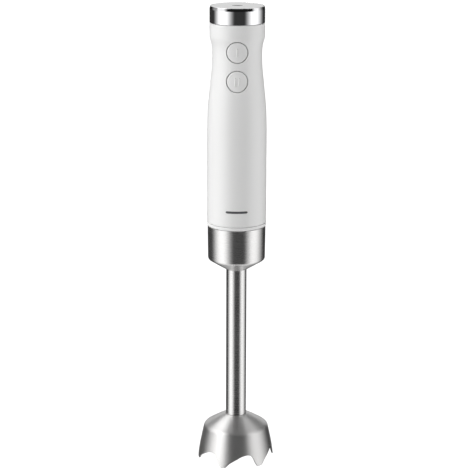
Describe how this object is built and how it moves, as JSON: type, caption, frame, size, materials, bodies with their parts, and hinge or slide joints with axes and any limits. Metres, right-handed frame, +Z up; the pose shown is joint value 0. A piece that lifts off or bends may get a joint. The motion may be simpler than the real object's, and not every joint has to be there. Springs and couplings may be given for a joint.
{
  "type": "immersion blender",
  "caption": "Stick blender: waisted handle with round press buttons on top of a twist-off steel wand that ends in a toothed bell guard around a spinning cutter.",
  "frame": {"origin": "on the blender's axis, level with the tips of the bell guard's teeth that it stands on", "axes": "+Z up the axis to the cap, -Y towards the front with the buttons, +X to the right of the front view"},
  "size_m": [0.068, 0.0666, 0.41],
  "materials": {
    "housing": "satin moulded white",
    "trim": "satin moulded white",
    "buttons": "satin moulded white",
    "cap_chrome": "polished",
    "cap_satin": "fine satin",
    "steel": "brushed round the axis",
    "blade_steel": "ground",
    "shaft_steel": "machined",
    "fasteners": "zinc plated",
    "springs": "drawn wire",
    "bearings": "ground",
    "laminations": "stacked sheet, lacquered",
    "windings": "enamelled copper wire",
    "commutator": "turned copper",
    "bushes": "sintered bronze",
    "brush_holders": "pressed brass",
    "carbon": "pressed carbon",
    "brackets": "die cast",
    "heat_sink": "extruded",
    "black_plastic": "fine moulded texture",
    "fan": "moulded",
    "grey_plastic": "moulded",
    "rubber": "moulded",
    "board": "solder mask",
    "capacitor": "cast resin case",
    "triac": "moulded",
    "leads": "extruded insulation"
  },
  "bodies": {
    "handle": {"housing_shell": "housing", "lower_trim_ring": "trim", "cap_ring": "cap_chrome", "cap_disc": "cap_satin", "cord_gland": "black_plastic", "bayonet_nose": "black_plastic", "nose_screw_left": "fasteners", "nose_screw_right": "fasteners", "lower_damper": "rubber", "upper_damper": "rubber", "lower_bracket": "brackets", "upper_bracket": "brackets", "lower_bearing": "bearings", "upper_bearing": "bearings", "motor_bolt_front": "fasteners", "motor_bolt_rear": "fasteners", "stator_core": "laminations", "field_coil_left": "windings", "field_coil_right": "windings", "brush_holder_left": "brush_holders", "brush_holder_right": "brush_holders", "carbon_brush_left": "carbon", "carbon_brush_right": "carbon", "brush_spring_left": "springs", "brush_spring_right": "springs", "electronics_carrier": "black_plastic", "circuit_board": "board", "switch_one": "black_plastic", "switch_two": "black_plastic", "suppression_capacitor": "capacitor", "triac": "triac", "heat_sink": "heat_sink", "button_spring_one": "springs", "button_spring_two": "springs", "motor_lead_left": "leads", "motor_lead_right": "leads"},
    "button_one": {"button_one": "buttons", "plunger_one": "grey_plastic"},
    "button_two": {"button_two": "buttons", "plunger_two": "grey_plastic"},
    "armature": {"motor_shaft": "shaft_steel", "armature_core": "laminations", "armature_winding": "windings", "commutator": "commutator", "cooling_fan": "fan", "motor_coupling": "black_plastic"},
    "nose_seal": {"nose_o_ring": "rubber"},
    "wand": {"wand_cup": "steel", "cup_insert": "black_plastic", "shaft_tube": "steel", "upper_bush": "bushes", "lower_bush": "bushes", "bell_hub": "black_plastic", "shaft_seal": "rubber", "bell_guard": "steel"},
    "drive": {"drive_shaft": "shaft_steel", "shaft_coupling": "black_plastic", "blade_hub": "blade_steel", "blade": "blade_steel", "blade_clip": "fasteners"}
  },
  "joints": [
    {"name": "button_one_press", "type": "slide", "parent": "handle", "child": "button_one", "axis": [0, 1, 0], "range_m": [0, 0.0015], "stiffness_N_per_m": 900, "springref_m": -0.0012, "deforming": ["button_spring_one"]},
    {"name": "button_two_press", "type": "slide", "parent": "handle", "child": "button_two", "axis": [0, 1, 0], "range_m": [0, 0.0015], "stiffness_N_per_m": 900, "springref_m": -0.0012, "deforming": ["button_spring_two"]},
    {"name": "motor_spin", "type": "hinge", "parent": "handle", "child": "armature", "pos_m": [0, 0, 0.254], "axis": [0, 0, 1], "continuous": true},
    {"name": "wand_twist", "type": "hinge", "parent": "handle", "child": "nose_seal", "pos_m": [0, 0, 0.212], "axis": [0, 0, 1], "range_deg": [0, 25]},
    {"name": "wand_pull", "type": "slide", "parent": "nose_seal", "child": "wand", "axis": [0, 0, -1], "range_m": [0, 0.05]},
    {"name": "cutter_spin", "type": "hinge", "parent": "wand", "child": "drive", "pos_m": [0, 0, 0.19], "axis": [0, 0, 1], "continuous": true}
  ],
  "couplings": [
    {"joint": "cutter_spin", "follows": "motor_spin", "ratio": 1}
  ]
}
